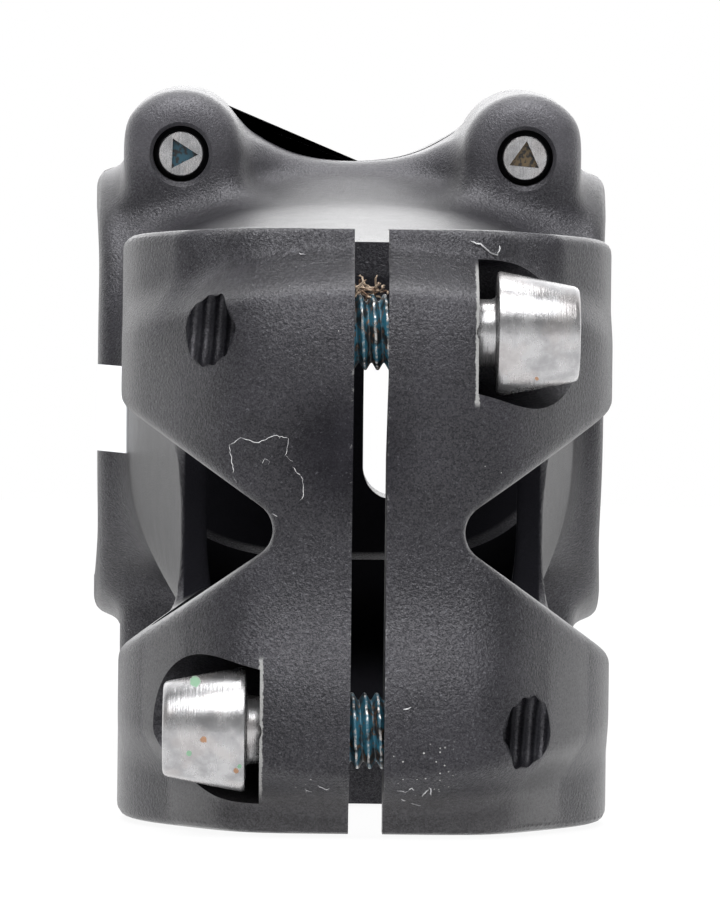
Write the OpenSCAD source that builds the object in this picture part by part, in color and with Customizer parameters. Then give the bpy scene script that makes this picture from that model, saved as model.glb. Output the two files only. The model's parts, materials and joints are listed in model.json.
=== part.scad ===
// Bicycle handlebar stem: a forged body that clamps a fork steerer with two pinch bolts and a
// handlebar with a four-bolt faceplate. Millimetres. +X right, +Y forward, +Z up; the origin is
// on the steerer axis, level with the bottom face of the steerer clamp.

/* [Steerer clamp] */
// Diameter of the steerer bore
steerer_d = 28.6; // [25.4:0.1:31.8]
// Height of the clamp along the steerer
clamp_h = 39; // [37:0.5:44]
// Wall beside the steerer bore
clamp_wall = 2.2; // [1.8:0.1:3.5]
// Depth of the lugs behind the steerer bore
lug_depth = 6.3; // [6.1:0.1:8]
// Distance of the lugs' slanted flanks from the steerer axis
flank_d = 18.6; // [18.2:0.1:19.4]
// Direction that the flanks face, in degrees behind the side
flank_angle = 33.7; // [30:0.1:40]
// Crispness of the lugs' corners seen from above
lug_power = 14; // [8:1:20]
// Width of the slot that closes when the bolts are tightened
slot_w = 2.2; // [1.5:0.1:3]
// Height of the plain collar at each end of the clamp
collar_h = 1.3; // [1:0.1:2]
// Wall behind the steerer bore at the collars
collar_wall = 2.9; // [2.5:0.1:3.5]
// Height over which a collar blends into its lug
collar_blend = 3.2; // [2:0.1:4]
// Depth of the waist between the two lugs
waist_depth = 0.8; // [0.4:0.1:1.5]
// Radius of the clamp's top and bottom edges in front of the lugs
edge_r = 0.8; // [0.4:0.1:1.2]
// Height of the relieved band inside the steerer bore
relief_h = 9; // [6:0.5:12]
// Depth of the relieved band
relief_depth = 0.3; // [0.2:0.05:0.5]

/* [Side notches] */
// Distance of the notch apex from the middle plane
notch_apex = 6.15; // [5.5:0.05:7]
// Radius at the notch apex
notch_apex_r = 1.9; // [1:0.1:2.5]
// Slope of the notch edges, in degrees from level
notch_slope = 35; // [30:1:40]
// Half of the notch height at the side of the clamp
notch_half_h = 7.8; // [6.5:0.1:8.5]
// Reach of the notch in front of the steerer axis
notch_front = 12.2; // [9.5:0.1:12.5]

/* [Bolts] */
// Thread diameter of every bolt
bolt_d = 5; // [4:0.5:5]
// Radial clearance between a thread and its tapped hole
thread_gap = 0.05; // [0.02:0.01:0.08]
// Radial clearance round the shank on the head's side
shank_gap = 0.3; // [0.2:0.05:0.5]
// Diameter of the bolt head at its seat
head_base_d = 8; // [7:0.1:8.2]
// Diameter of the bolt head at its outer end
head_end_d = 6.1; // [5.6:0.1:6.5]
// Length of the bolt head
head_len = 5.3; // [4:0.1:6]
// Width across the flats of the hexagon socket
hex_af = 4; // [3:0.5:4.2]
// Depth of the hexagon socket
hex_depth = 3.2; // [2:0.1:3.5]
// Diameter of the reduced shank under the head
neck_d = 4.4; // [3.6:0.1:4.4]
// Clearance under the seated head of a faceplate bolt
seat_gap = 0.02; // [0.01:0.01:0.1]

/* [Pinch bolts] */
// Distance between the two pinch bolts along the steerer
pinch_spacing = 25.6; // [25:0.1:26.5]
// Wall between the steerer bore and the pinch bolt holes
pinch_wall = 0.6; // [0.5:0.05:1]
// Distance from the middle plane to the head's seat
pinch_seat = 6.85; // [6.4:0.05:7.2]
// Radial clearance round the head in its pocket
pocket_gap = 0.8; // [0.5:0.05:0.9]
// Distance by which the upper head is backed out from its seat
upper_backed_out = 1.2; // [0.1:0.1:2]
// Distance by which the lower head is backed out from its seat
lower_backed_out = 0.9; // [0.1:0.1:2]
// Length of the bolt under the head
pinch_len = 15; // [14:1:20]
// Length of the plain neck under the pinch bolt's head
pinch_neck = 6.2; // [4:0.1:7]

/* [Extension] */
// Distance between the steerer axis and the handlebar axis along the extension
reach = 100; // [90:5:130]
// Rise of the extension
rise = 6; // [4:1:8]
// Half of the extension's width where it leaves the steerer clamp
root_half_w = 12.4; // [12.2:0.1:13.5]
// Half of the extension's width at the handlebar clamp
tip_half_w = 18.8; // [17:0.1:19.5]
// Depth of the extension's top below the top of the clamp at its root
root_drop = 1.4; // [1.2:0.1:3]
// Height of the extension where it leaves the steerer clamp
root_h = 33.6; // [30:0.2:35]
// Height of the extension at the handlebar clamp
tip_h = 33; // [28:0.2:34]
// Squareness of the extension's section, from 2 for an ellipse
section_power = 3.2; // [2:0.1:4]
// Thickness of the side walls
side_wall = 1.8; // [1.5:0.1:2.5]
// Thickness of the roof
roof_wall = 4; // [3:0.1:5]
// Thickness of the floor
floor_wall = 2.2; // [1.8:0.1:3]

/* [Handlebar clamp] */
// Diameter of the handlebar
bar_d = 31.8; // [31.4:0.1:32.2]
// Width of the handlebar clamp at the split plane
barrel_w = 43.6; // [43:0.2:46]
// Narrowing of each end of the clamp towards its rear and its front
end_draft = 1; // [0:0.1:1.5]
// Wall of the clamp
barrel_wall = 3.3; // [3:0.1:4]
// Radius of the shoulder at each end of the clamp
shoulder_r = 1.7; // [0.8:0.1:2]
// Distance between the left and right faceplate bolts
face_bolt_x = 28.8; // [28:0.2:30]
// Distance between the upper and lower faceplate bolts
face_bolt_z = 42; // [41.6:0.2:44]
// Radius of the ears round the faceplate bolts
ear_r = 5.3; // [5:0.1:5.6]
// Depth of the ears behind the handlebar axis
ear_depth = 12; // [10:0.5:13]
// Radius of the ears' rounded rear edge
ear_edge_r = 2; // [1:0.1:2.2]
// Distance of the ears' flat sides from the middle plane
ear_side = 19.3; // [19:0.1:20]
// Height of the saddle between the ears above the barrel
saddle_rise = 0.6; // [0.2:0.1:1]
// Radius of the saddle
saddle_r = 15; // [14:0.5:20]
// Depth of the web between the ears at its middle
web_depth = 4; // [3:0.5:6]
// Gap between the faceplate and the body
split_gap = 1.5; // [1:0.1:2.5]

/* [Faceplate] */
// Radius of the faceplate's ears
plate_ear_r = 5.1; // [5:0.1:5.6]
// Depth of the faceplate's ears in front of the handlebar axis
plate_ear_depth = 8.4; // [7:0.1:9]
// Length of the faceplate bolts under the head
face_len = 20; // [17:1:20]
// Width of the rib between the two windows
rib_w = 3.1; // [2.5:0.1:6]
// Width of each window
window_w = 6.95; // [5:0.05:7.5]
// Height of each window
window_h = 21; // [14:0.5:22]
// Corner radius of the windows
window_r = 2.6; // [1:0.1:3]

/* [Hidden] */
black = [0.16, 0.16, 0.165];
steel = [0.72, 0.72, 0.72];
$fn = 72;
bore_r = steerer_d / 2;
side_r = bore_r + clamp_wall;
// Number of points round the clamp's skin
clamp_sides = 64;
lug_r = bore_r + lug_depth;
mid_z = clamp_h / 2;
pinch_y = -(bore_r + pinch_wall + bolt_d / 2);
pocket_r = head_base_d / 2 + pocket_gap;
bar_r = bar_d / 2;
half_w = barrel_w / 2;
bar_y = reach * cos(rise);
bar_z = mid_z + reach * sin(rise);
ear_x = face_bolt_x / 2;
ear_z = face_bolt_z / 2;
saddle_z = bar_r + barrel_wall + saddle_rise;
// The extension starts inside the steerer bore and ends inside the handlebar bore
ext_y0 = bore_r - 9;
ext_y1 = bar_y - 7;
root_top = clamp_h - root_drop;
tip_top = bar_z + tip_h / 2;
over = 30;

// Smooth step from 0 to 1
function ease(t) = let (u = min(1, max(0, t))) u * u * (3 - 2 * u);
function mix(a, b, t) = a + (b - a) * t;
function signed_pow(v, p) = sign(v) * pow(abs(v), p);
// Point of a superellipse at the angle t
function oval(a, b, p, t) = [a * signed_pow(cos(t), 2 / p), b * signed_pow(sin(t), 2 / p)];
function arc(c, r, t0, t1, steps) =
  [for (i = [0:steps]) let (t = mix(t0, t1, i / steps)) [c.x + r * cos(t), c.y + r * sin(t)]];

// Closed solid through a list of rings that all have the same number of points. The rings
// follow one another upwards and turn anticlockwise seen from the last one.
module skin(rings) {
  n = len(rings[0]);
  m = len(rings);
  polyhedron(
    points = [for (ring = rings) each ring],
    faces = concat(
      [[for (i = [0:n - 1]) i]],
      [for (k = [0:m - 2], i = [0:n - 1]) let (j = (i + 1) % n)
        each [[k * n + i, (k + 1) * n + i, (k + 1) * n + j], [k * n + i, (k + 1) * n + j, k * n + j]]],
      [[for (i = [n - 1:-1:0]) (m - 1) * n + i]]),
    convexity = 8);
}

// How far the lugs stand out at the height z: 0 on the collars and 1 on the lugs
function lug_rise(z) = ease((min(z, clamp_h - z) - collar_h) / collar_blend);

// Depth of the clamp behind the steerer axis at the height z: collar, lug, waist, lug, collar
function clamp_depth(z) =
  let (d = min(z, clamp_h - z))
  mix(bore_r + collar_wall, lug_r, lug_rise(z)) - waist_depth * ease((d - 9.5) / (mid_z - 9.5));

// Half width of the clamp at the height z, with rounded top and bottom edges
function clamp_half(z) =
  let (d = min(z, clamp_h - z))
  side_r - edge_r * (1 - sqrt(1 - pow(1 - min(1, max(0, d / edge_r)), 2)));

// Radius of the lugged outline in the direction t: side, flanks and rear blended into one curve
function lug_radius(z, t) =
  let (
    depth = clamp_depth(z),
    half = clamp_half(z),
    flank = mix(half + 0.4, flank_d, lug_rise(z)),
    faces = [[0, half], [-flank_angle, flank], [-90, depth], [flank_angle - 180, flank], [180, half]])
  pow(sumv([for (f = faces) pow(max(0, cos(t - f[0])) / f[1], lug_power)]), -1 / lug_power);

function sumv(v, i = 0) = i < len(v) ? v[i] + sumv(v, i + 1) : 0;

function clamp_ring(z) =
  [for (i = [0:clamp_sides - 1])
    let (
      t = 360 * (i + 0.5) / clamp_sides - 180,
      r = t < 0 ? lug_radius(z, t) : clamp_half(z))
    [r * cos(t), r * sin(t), z]];

// Heights of the rings of the clamp's skin, measured from either end
clamp_levels = [0, 0.25, 0.6, edge_r, collar_h, collar_h + 0.8, collar_h + 1.6, collar_h + 2.4,
  collar_h + collar_blend, 9.5, 12.5, 16];

module clamp_skin() {
  low = [for (z = clamp_levels) z];
  high = [for (i = [len(clamp_levels) - 1:-1:0]) clamp_h - clamp_levels[i]];
  rings = [for (z = concat(low, [mid_z], high)) clamp_ring(z)];
  // The end rings are carried past both ends and trimmed, so the end faces are true planes
  beyond = [for (p = rings[0]) [p.x, p.y, -1]];
  above = [for (p = rings[0]) [p.x, p.y, clamp_h + 1]];
  intersection() {
    skin(concat([beyond], rings, [above]));
    translate([-over, -over, 0]) cube([2 * over, 2 * over, clamp_h]);
  }
}

// Outline of one side notch seen from behind: round apex, straight edges, rounded outer corners
module notch_outline() {
  c = notch_apex + notch_apex_r;
  corner_r = 3;
  // The straight edge leaves the apex arc and meets the outer corner's arc
  sx = c - notch_apex_r * sin(notch_slope);
  sz = notch_apex_r * cos(notch_slope);
  turn = 75 - notch_slope;
  ex = side_r + 0.6 - corner_r * (sin(75) - sin(notch_slope));
  ez = sz + (ex - sx) * tan(notch_slope);
  upper = arc([ex - corner_r * sin(notch_slope), ez + corner_r * cos(notch_slope)], corner_r,
    notch_slope - 90, notch_slope - 90 + turn, 8);
  half = concat(
    [for (p = arc([c, 0], notch_apex_r, 180, 90 + notch_slope, 8)) p],
    upper, [[over, upper[len(upper) - 1].y]]);
  polygon(concat(half, [for (i = [len(half) - 1:-1:1]) [half[i].x, -half[i].y]]));
}

// Both notches: a V seen from behind, with a round front end seen from the side
module side_notches() {
  front_r = notch_half_h;
  for (side = [0, 1]) mirror([side, 0, 0])
    intersection() {
      translate([0, over, mid_z]) rotate([90, 0, 0]) linear_extrude(height = 2 * over) notch_outline();
      union() {
        translate([0, notch_front - front_r, mid_z]) rotate([0, 90, 0])
          cylinder(r = front_r, h = over, $fn = 96);
        translate([0, -over, mid_z - front_r])
          cube([over, over + notch_front - front_r, 2 * front_r]);
      }
    }
}

// Section of the extension, or of its hollow, at the fraction f along its length
function ext_ring(f, top_inset, floor_inset, side_inset, p) =
  let (
    y = mix(ext_y0, ext_y1, f),
    w = mix(root_half_w, tip_half_w, ease(f)) - side_inset,
    top = mix(root_top, tip_top, f) - top_inset,
    low = mix(root_top - root_h, tip_top - tip_h, f) + floor_inset,
    c = (top + low) / 2,
    h = (top - low) / 2)
  [for (i = [0:43])
    let (q = oval(w, h, p, -360 * (i + 0.5) / 44))
    [q.x, y, c + q.y]];

ext_steps = 12;

module extension() {
  skin([for (k = [0:ext_steps]) ext_ring(k / ext_steps, 0, 0, 0, section_power)]);
}

module extension_hollow() {
  skin([for (k = [0:ext_steps]) ext_ring(k / ext_steps, roof_wall, floor_wall, side_wall, section_power - 0.5)]);
}

// Frame of the handlebar clamp: origin on the handlebar axis, tilted with the extension
module at_bar() {
  translate([0, bar_y, bar_z]) rotate([rise, 0, 0]) children();
}

// Barrel round the handlebar, widest at the split plane
module barrel_shape() {
  r = bar_r + barrel_wall;
  flat = 2;
  profile = concat(
    [[0, -half_w], [r - shoulder_r, -half_w]],
    arc([r - shoulder_r, -half_w + shoulder_r], shoulder_r, -75, 0, 6));
  plan = [[half_w, flat], [half_w - end_draft, r], [end_draft - half_w, r], [-half_w, flat]];
  intersection() {
    rotate([0, 90, 0]) rotate_extrude($fn = 128)
      polygon(concat(profile, [for (i = [len(profile) - 1:-1:0]) [profile[i].x, -profile[i].y]]));
    translate([0, 0, -over]) linear_extrude(height = 2 * over)
      polygon(concat(plan, [for (i = [len(plan) - 1:-1:0]) [plan[i].x, -plan[i].y]]));
  }
}

// One ear with its leg, from the split plane to the depth d, with a rounded outer edge
module ear(r, d, edge) {
  steps = 5;
  foot = saddle_z - ear_z - 8;
  ring = function (rr, y)
    concat(
      [for (p = arc([0, 0], rr, 0, 180, 18)) [p.x, y, p.y]],
      [[-rr, y, foot], [rr, y, foot]]);
  // Rings run towards -Y, so the outline turns anticlockwise seen from behind
  skin(concat(
    [ring(r, -split_gap / 2)],
    [for (k = [0:steps]) let (t = 90 * k / steps)
      ring(r - edge * (1 - cos(t)), -(d - edge + edge * sin(t)))]));
}

module ears(r, d, edge) {
  intersection() {
    for (side = [-1, 1], level = [0, 1])
      mirror([0, 0, level]) translate([side * ear_x, 0, ear_z]) ear(r, d, edge);
    cube([2 * ear_side, 4 * over, 4 * over], center = true);
  }
}

// Web between the ears: its edge sinks in one wide arc and its back is scooped out
module web(r, d) {
  end_x = ear_x - 0.75 * r;
  turn = asin(end_x / saddle_r);
  scoop_r = (end_x * end_x + pow(d - web_depth, 2)) / (2 * (d - web_depth));
  edge = concat(
    arc([0, saddle_z + saddle_r], saddle_r, -90 - turn, -90 + turn, 20), [[ear_x, ear_z]]);
  difference() {
    intersection() {
      translate([0, -split_gap / 2, 0]) rotate([90, 0, 0]) linear_extrude(height = d - split_gap / 2)
        for (level = [0, 1]) mirror([0, level])
          polygon(concat([[-ear_x, 0], [-ear_x, ear_z]], edge, [[ear_x, 0]]));
      rotate([0, 90, 0]) cylinder(r = saddle_z + 4, h = barrel_w, center = true, $fn = 128);
    }
    translate([0, -web_depth - scoop_r, -2 * over]) cylinder(r = scoop_r, h = 4 * over, $fn = 96);
  }
}

// Space behind or in front of the split plane
module half_space(front) {
  translate([-over, front ? split_gap / 2 : -2 * over - split_gap / 2, -over])
    cube([2 * over, 2 * over, 2 * over]);
}

module face_bolt_holes(r, y0, y1) {
  for (x = [-ear_x, ear_x], z = [-ear_z, ear_z])
    translate([x, y1, z]) rotate([90, 0, 0]) cylinder(r = r, h = y1 - y0, $fn = 48);
}

// Hole, clearance hole and head pocket of one pinch bolt whose head is on the side +X
module pinch_cut() {
  translate([-over, 0, 0]) rotate([0, 90, 0])
    cylinder(r = bolt_d / 2 + thread_gap, h = 2 * over, $fn = 48);
  rotate([0, 90, 0]) cylinder(r = bolt_d / 2 + shank_gap, h = over, $fn = 48);
  translate([pinch_seat, 0, 0]) rotate([0, 90, 0]) cylinder(r = pocket_r, h = over, $fn = 64);
}

module stem_body() {
  color(black)
    difference() {
      union() {
        clamp_skin();
        extension();
        at_bar() intersection() {
          union() {
            barrel_shape();
            ears(ear_r, ear_depth, ear_edge_r);
            web(ear_r, ear_depth - 1);
          }
          half_space(false);
        }
      }
      extension_hollow();
      translate([0, 0, -1]) cylinder(r = bore_r, h = clamp_h + 2, $fn = 128);
      translate([0, 0, mid_z - relief_h / 2]) cylinder(r = bore_r + relief_depth, h = relief_h, $fn = 128);
      translate([-slot_w / 2, -over, -1]) cube([slot_w, over, clamp_h + 2]);
      side_notches();
      translate([0, pinch_y, mid_z + pinch_spacing / 2]) pinch_cut();
      translate([0, pinch_y, mid_z - pinch_spacing / 2]) mirror([1, 0, 0]) pinch_cut();
      at_bar() {
        rotate([0, 90, 0]) cylinder(r = bar_r, h = barrel_w + 2, center = true, $fn = 128);
        face_bolt_holes(bolt_d / 2 + thread_gap, -ear_depth - 1, 1);
      }
    }
}

// Two windows with round corners, side by side, through the front wall
module windows() {
  for (side = [-1, 1])
    translate([side * (rib_w + window_w) / 2, 0, 0]) rotate([-90, 0, 0]) {
      linear_extrude(height = over) square([window_w - 2 * window_r, window_h], center = true);
      linear_extrude(height = over) square([window_w, window_h - 2 * window_r], center = true);
      for (x = [-1, 1], y = [-1, 1])
        translate([x * (window_w / 2 - window_r), y * (window_h / 2 - window_r), 0])
          cylinder(r = window_r, h = over, $fn = 32);
    }
}

module faceplate() {
  color(black)
    at_bar() difference() {
      intersection() {
        union() {
          barrel_shape();
          mirror([0, 1, 0]) {
            ears(plate_ear_r, plate_ear_depth, 1);
            web(plate_ear_r, plate_ear_depth);
          }
        }
        half_space(true);
      }
      rotate([0, 90, 0]) cylinder(r = bar_r, h = barrel_w + 2, center = true, $fn = 128);
      windows();
      face_bolt_holes(bolt_d / 2 + shank_gap, -1, plate_ear_depth + 1);
      face_bolt_holes(pocket_r, plate_ear_depth, over);
    }
}

// Bolt with a conical head: the seat is at the origin and the shank runs towards -Z
module cone_bolt(length, neck) {
  tip = 0.65;
  difference() {
    rotate_extrude($fn = 64)
      polygon([
        [0, -length], [bolt_d / 2 - tip, -length], [bolt_d / 2, -length + tip],
        [bolt_d / 2, -neck], [neck_d / 2, -neck - (neck_d - bolt_d) / 2], [neck_d / 2, 0],
        [head_base_d / 2 - 0.25, 0], [head_base_d / 2, 0.25], [head_end_d / 2 + 0.3, head_len - 0.25],
        [head_end_d / 2, head_len], [0, head_len]]);
    translate([0, 0, head_len - hex_depth])
      cylinder(r = hex_af / 2 / cos(30), h = hex_depth + 1, $fn = 6);
  }
}

module pinch_bolt(backed_out) {
  color(steel)
    translate([pinch_seat + backed_out, 0, 0]) rotate([0, 90, 0]) cone_bolt(pinch_len, pinch_neck);
}

module upper_pinch_bolt() {
  translate([0, pinch_y, mid_z + pinch_spacing / 2]) pinch_bolt(upper_backed_out);
}

module lower_pinch_bolt() {
  translate([0, pinch_y, mid_z - pinch_spacing / 2]) mirror([1, 0, 0]) pinch_bolt(lower_backed_out);
}

// One faceplate bolt, seated on the faceplate's ear
module face_bolt(side, level) {
  color(steel)
    at_bar() translate([side * ear_x, plate_ear_depth + seat_gap, level * ear_z]) rotate([-90, 0, 0])
      cone_bolt(face_len, 3);
}

module faceplate_bolt_upper_left() { face_bolt(-1, 1); }
module faceplate_bolt_upper_right() { face_bolt(1, 1); }
module faceplate_bolt_lower_left() { face_bolt(-1, -1); }
module faceplate_bolt_lower_right() { face_bolt(1, -1); }

stem_body();
faceplate();
upper_pinch_bolt();
lower_pinch_bolt();
faceplate_bolt_upper_left();
faceplate_bolt_upper_right();
faceplate_bolt_lower_left();
faceplate_bolt_lower_right();
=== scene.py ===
import json
import math
import random

import bpy
import numpy as np
import openvdb
from mathutils import Matrix, Vector
from mathutils.bvhtree import BVHTree


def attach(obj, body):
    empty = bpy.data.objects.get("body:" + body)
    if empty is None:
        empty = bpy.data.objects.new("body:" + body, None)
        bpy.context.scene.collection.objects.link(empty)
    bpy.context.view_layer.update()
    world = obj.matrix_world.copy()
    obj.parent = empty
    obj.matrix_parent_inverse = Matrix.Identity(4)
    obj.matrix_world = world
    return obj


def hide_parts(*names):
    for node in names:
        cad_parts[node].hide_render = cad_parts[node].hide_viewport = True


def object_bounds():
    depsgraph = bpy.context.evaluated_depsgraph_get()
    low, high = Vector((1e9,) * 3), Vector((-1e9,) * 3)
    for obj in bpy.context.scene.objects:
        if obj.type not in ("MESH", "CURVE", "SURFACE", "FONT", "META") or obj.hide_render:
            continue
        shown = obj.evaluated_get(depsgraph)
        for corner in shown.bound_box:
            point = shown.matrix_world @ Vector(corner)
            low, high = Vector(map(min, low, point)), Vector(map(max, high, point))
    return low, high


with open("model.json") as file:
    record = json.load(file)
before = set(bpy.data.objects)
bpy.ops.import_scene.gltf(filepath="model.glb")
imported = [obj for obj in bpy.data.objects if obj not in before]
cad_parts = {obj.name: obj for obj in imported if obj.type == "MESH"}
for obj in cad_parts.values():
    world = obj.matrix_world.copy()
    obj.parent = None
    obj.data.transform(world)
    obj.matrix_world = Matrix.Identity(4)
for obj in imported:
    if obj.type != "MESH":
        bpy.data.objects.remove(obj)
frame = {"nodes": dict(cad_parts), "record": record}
cad_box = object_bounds()
record = frame["record"]
nodes = frame["nodes"]
MM = 0.001
random.seed(7)


# ---------------------------------------------------------------- sizes, in millimetres
def mount(name):
    return next(m for m in record["mounts"] if m["name"] == name)


def joint(name):
    return next(j for j in record["behaviour"]["joints"] if j["name"] == name)


bore_r = mount("steerer_clamp")["dims"]["r_mm"]
clamp_h = mount("steerer_clamp")["dims"]["length_mm"]
bar_r = mount("handlebar_clamp")["dims"]["r_mm"]
bar_y, bar_z = (v / MM for v in mount("handlebar_clamp")["pos_m"][1:])
half_w = mount("handlebar_clamp")["dims"]["length_mm"] / 2
rise_axis = joint("faceplate_lift")["axis"]
rise = math.atan2(rise_axis[2], rise_axis[1])
upper_seat = [v / MM for v in joint("upper_pinch_bolt_turn")["pos_m"]]
lower_seat = [v / MM for v in joint("lower_pinch_bolt_turn")["pos_m"]]
pinch_y = upper_seat[1]
mid_z = clamp_h / 2
side_r = bore_r + 2.2
lug_r = bore_r + 6.3
slot_w = 2.2
pinch_seat = 6.85
pocket_r = 4.8
thread_r = 2.5
ear_x, ear_z = 14.4, 21.0
ear_r, ear_depth = 5.3, 12.0
plate_ear_r, plate_depth = 5.1, 8.4
split_gap = 1.5
saddle_z, saddle_r, web_depth = bar_r + 3.9, 15.0, 4.0
relief_h, relief_depth = 9.0, 0.3
pinch_z = upper_seat[2] - mid_z  # height of each pinch bolt from the middle of the clamp
thread_pitch, thread_root_r, thread_h = 0.8, 1.98, 0.46
head_len, hex_depth = 5.3, 3.2
lug_flank, lug_flank_angle, lug_corner = 18.6, 33.7, 14
ext_root_w, ext_tip_w = 12.4, 18.8
ext_root_top, ext_root_h, ext_tip_h = clamp_h - 1.4, 33.6, 33.0
notch_tip_x, notch_tip_r, notch_angle = 6.15, 1.9, 35
notch_front_r, notch_front_y = 8.4, 12.2
window_w, window_h, window_r, window_x = 6.95, 21, 2.6, 5.025
tap_half_h, tap_half_y = 2.2, 1.75


# ---------------------------------------------------------------- distance fields
def smin(a, b, k):
    h = np.clip(0.5 + 0.5 * (b - a) / k, 0, 1)
    return b + (a - b) * h - k * h * (1 - h)


def smax(a, b, k):
    return -smin(-a, -b, k)


def ease(t):
    u = np.clip(t, 0, 1)
    return u * u * (3 - 2 * u)


def mix(a, b, t):
    return a + (b - a) * t


def oval_field(u, v, a, b, p):
    """Radial distance to a superellipse with the half axes a and b."""
    f = ((np.abs(u) / a) ** p + (np.abs(v) / b) ** p) ** (1 / p)
    rho = np.sqrt(u * u + v * v)
    return rho * (1 - 1 / np.maximum(f, 1e-4))


def clamp_field(x, y, z):
    """Round in front; behind, the side, slanted flank and rear of the lugs blended into one curve."""
    d = np.minimum(z, clamp_h - z)
    # The plain collar grows taller towards the sides
    out = ease((d - 1.0 - 0.011 * x * x) / 3.4)
    depth = mix(bore_r + 2.9, lug_r, out) - 0.8 * ease((d - 9.5) / (mid_z - 9.5))
    half = side_r - 0.8 * (1 - np.sqrt(1 - (1 - np.clip(d / 0.8, 0, 1)) ** 2))
    flank = mix(half + 0.4, lug_flank, out)
    turn, m = math.radians(lug_flank_angle), lug_corner
    rho = np.sqrt(x * x + y * y) + 1e-6
    nx, ny = np.abs(x) / rho, -y / rho
    s = (nx / half) ** m + (np.maximum(ny, 0) / depth) ** m
    s = s + (np.maximum(nx * math.cos(turn) + ny * math.sin(turn), 0) / flank) ** m
    s = s + (np.maximum(ny * math.sin(turn) - nx * math.cos(turn), 0) / flank) ** m
    rear = rho - s ** (-1 / m)
    plan = np.where(y < 0, rear, rho - half)
    return smax(plan, np.abs(z - mid_z) - mid_z + 0 * plan, 0.3)


def extension_field(x, y, z, roof, floor, side, p):
    """Rising extension, made smaller by the walls roof, floor and side for its hollow."""
    y0, y1 = bore_r - 9, bar_y - 7
    f = (y - y0) / (y1 - y0)
    w = mix(ext_root_w, ext_tip_w, ease(f)) - side
    top = mix(ext_root_top, bar_z + ext_tip_h / 2, f) - roof
    low = mix(ext_root_top - ext_root_h, bar_z - ext_tip_h / 2, f) + floor
    d = oval_field(x, z - (top + low) / 2, w, (top - low) / 2, p)
    return smax(d, np.maximum(y0 - y, y - y1) + 0 * d, 0.5)


def tilt(y, z):
    c, s = math.cos(rise), math.sin(rise)
    return (y - bar_y) * c + (z - bar_z) * s, -(y - bar_y) * s + (z - bar_z) * c


def barrel_field(x, u, v):
    """Ring round the bar with drafted, slightly hollow ends that are widest at the split."""
    wide = half_w - 0.4 + 0.4 * np.clip(v / bar_r, -1, 1) ** 2
    ends = np.abs(x) - wide + 0.042 * np.abs(u)
    return smax(np.hypot(u, v) - bar_r - 3.3 + 0 * x, ends, 1.7)


def saddle_height(x, r):
    """Height of the edge between the ears: one wide arc that runs into the crowns of the ears."""
    ax = np.abs(x)
    arc = saddle_z + saddle_r - np.sqrt(np.maximum(saddle_r ** 2 - ax * ax, 0))
    crown = ear_z + np.sqrt(np.maximum(r * r - (ax - ear_x) ** 2, 0))
    return np.where(ax < ear_x - 0.75 * r, arc, crown)


def ears_field(x, u, v, r, depth, edge):
    """Ears and the web between them; u runs away from the split plane."""
    ax, av = np.abs(x), np.abs(v)
    leg = np.hypot(ax - ear_x, av - np.clip(av, 6, ear_z)) - r
    leg = smax(leg, ax - ear_x - r + 0.4 + 0 * av, 0.8)
    ear = smax(leg, u - depth + 0 * leg, edge)
    web = smax((av - saddle_height(x, r)) * 0.9, np.hypot(u, v) - saddle_z - 3.4 + 0 * x, 1.2)
    web = smax(web, ax - ear_x, 0.5)
    web = smax(web, u - depth + 1.2 + 0 * ax, 2.0)
    # The back of the web is scooped out across its middle
    end_x, deep = ear_x - 0.75 * r, depth - 1 - web_depth
    scoop_r = (end_x ** 2 + deep ** 2) / (2 * deep)
    web = smax(web, scoop_r - np.hypot(x, u - web_depth - scoop_r) + 0 * av, 2.0)
    return smin(ear, web, 1.2)


def notch_field(x, y, z):
    """A V with a round tip and a round front, cut into each side."""
    r, slope = notch_tip_r, math.radians(notch_angle)
    u, v = np.abs(x) - notch_tip_x - r, np.abs(z - mid_z)
    along = u * math.cos(slope) + v * math.sin(slope)
    across = -u * math.sin(slope) + v * math.cos(slope)
    vee = np.where(along < 0, np.hypot(u, v), across) - r
    t = np.maximum(y - (notch_front_y - notch_front_r), 0)
    side = np.hypot(t, z - mid_z) - notch_front_r
    return smax(vee, side + 0 * vee, 0.6)


def stem_field(x, y, z):
    u, v = tilt(y, z)
    body = smin(clamp_field(x, y, z), extension_field(x, y, z, 0, 0, 0, 3.2), 2.6)
    ears = ears_field(x, -u, v, ear_r, ear_depth, 3.2)
    bar = smin(barrel_field(x, u, v), ears, 1.8)
    body = smin(body, bar, 4.5)
    body = smax(body, -extension_field(x, y, z, 4.0, 2.2, 1.7, 2.7), 0.8)
    return smax(body, -notch_field(x, y, z), 0.7)


def plate_field(x, y, z):
    u, v = tilt(y, z)
    ears = ears_field(x, u, v, plate_ear_r, plate_depth, 1.6)
    return smin(barrel_field(x, u, v), ears, 1.8)


# ---------------------------------------------------------------- meshes
def new_object(name, points, faces, smooth=True):
    mesh = bpy.data.meshes.new(name)
    points = np.asarray(points, dtype=np.float64) * MM
    mesh.from_pydata(points.tolist() if len(points) < 5000 else points, [], faces)
    mesh.update()
    obj = bpy.data.objects.new(name, mesh)
    bpy.context.scene.collection.objects.link(obj)
    if smooth:
        mesh.shade_smooth()
    return obj


def field_object(name, field, xs, ys, zs):
    """Closed surface of a field that is the same on both sides of the middle plane."""
    vals = field(xs[:, None, None], ys[None, :, None], zs[None, None, :]).astype(np.float32)
    vals = np.concatenate([vals[::-1], vals], axis=0)
    grid_x = np.concatenate([-xs[::-1], xs])
    grid = openvdb.FloatGrid(2.0)
    grid.copyFromArray(np.clip(vals, -2.0, 2.0))
    pts, quads = grid.convertToQuads(0.0)
    out = np.empty_like(pts)
    for k, axis in enumerate((grid_x, ys, zs)):
        out[:, k] = np.interp(pts[:, k], np.arange(len(axis)), axis)
    return new_object(name, out, quads[:, ::-1].tolist())


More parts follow.
